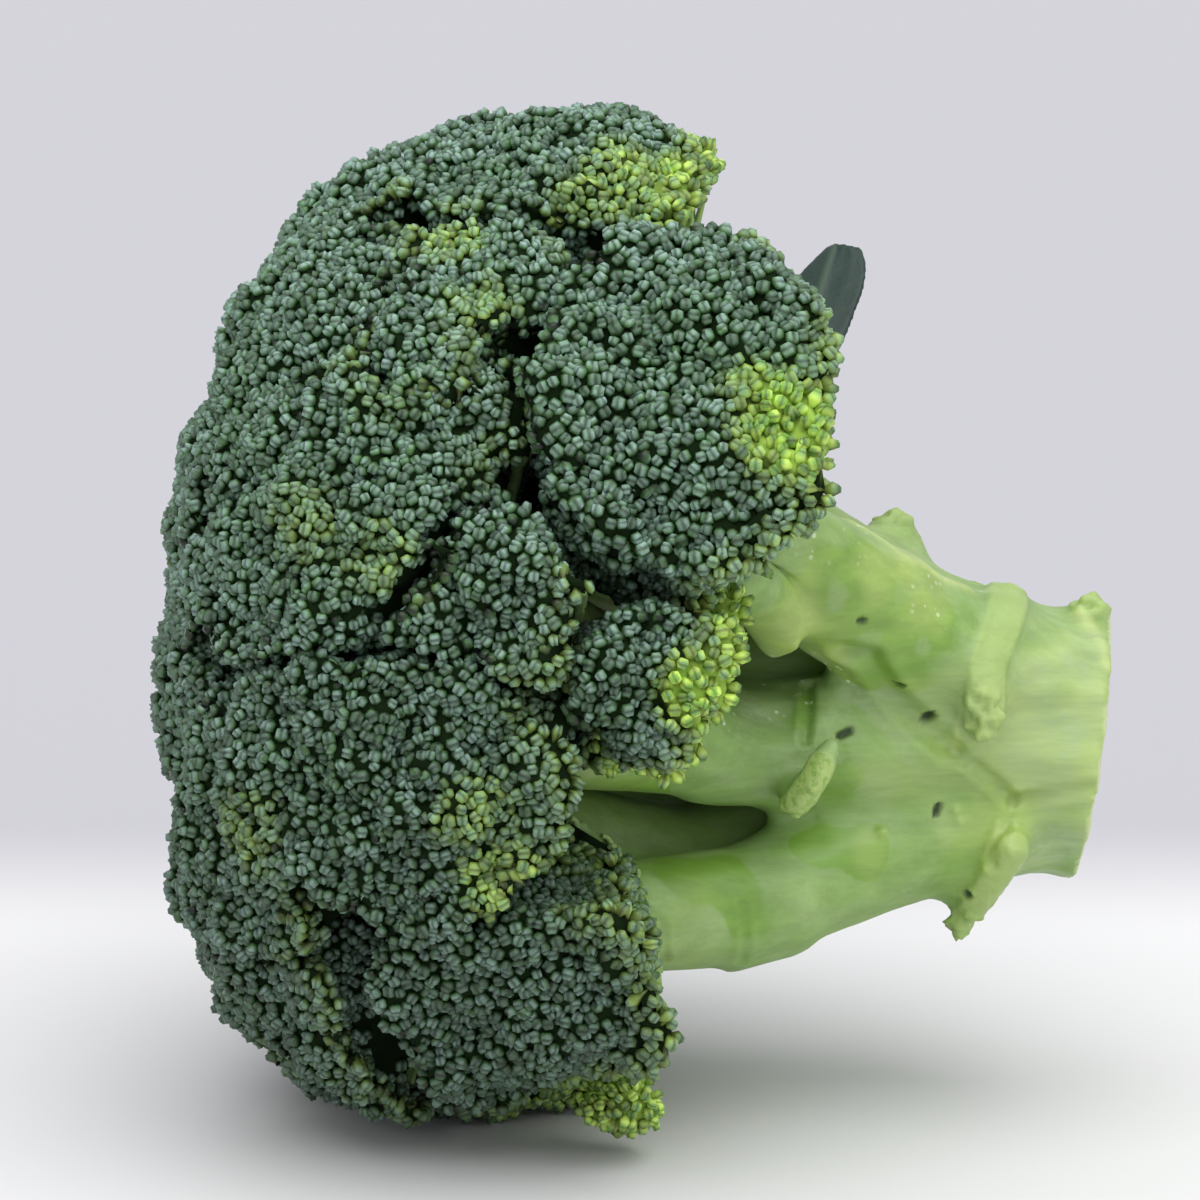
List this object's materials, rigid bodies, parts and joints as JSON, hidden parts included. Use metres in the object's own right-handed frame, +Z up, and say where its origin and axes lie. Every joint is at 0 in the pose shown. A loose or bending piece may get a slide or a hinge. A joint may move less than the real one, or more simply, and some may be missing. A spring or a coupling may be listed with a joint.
{
  "type": "head of broccoli",
  "caption": "Head of broccoli lying on its side: domed florets of closed buds on a thick forked stalk, cut flat at its base, with small dark leaves among the florets.",
  "frame": {"origin": "under the middle of the head's box, on the surface that it lies on", "axes": "+Z up; the cut end of the stalk faces +X and the crown faces -X, tipped up a little; -Y is the side that the picture shows"},
  "size_m": [0.156, 0.1669, 0.1688],
  "materials": {
    "stalk_green": "waxy, slightly glossy",
    "bud_green": "matt, waxy bloom on closed buds",
    "leaf_green": "waxy, satin"
  },
  "bodies": {
    "root": {"floret_bottom": "bud_green", "floret_crown_far": "bud_green", "floret_crown_front": "bud_green", "floret_crown_top": "bud_green", "floret_far": "bud_green", "floret_far_bottom": "bud_green", "floret_far_left": "bud_green", "floret_far_low": "bud_green", "floret_far_shoulder": "bud_green", "floret_far_top": "bud_green", "floret_far_upper": "bud_green", "floret_front": "bud_green", "floret_lower_front": "bud_green", "floret_lower_left": "bud_green", "floret_middle_front": "bud_green", "floret_shoulder": "bud_green", "floret_small": "bud_green", "floret_sprig": "bud_green", "floret_top": "bud_green", "floret_top_rim": "bud_green", "floret_under": "bud_green", "floret_upper": "bud_green", "floret_upper_front": "bud_green", "floret_upper_left": "bud_green", "leaf_low": "leaf_green", "leaf_rear": "leaf_green", "stalk": "stalk_green"}
  },
  "joints": []
}
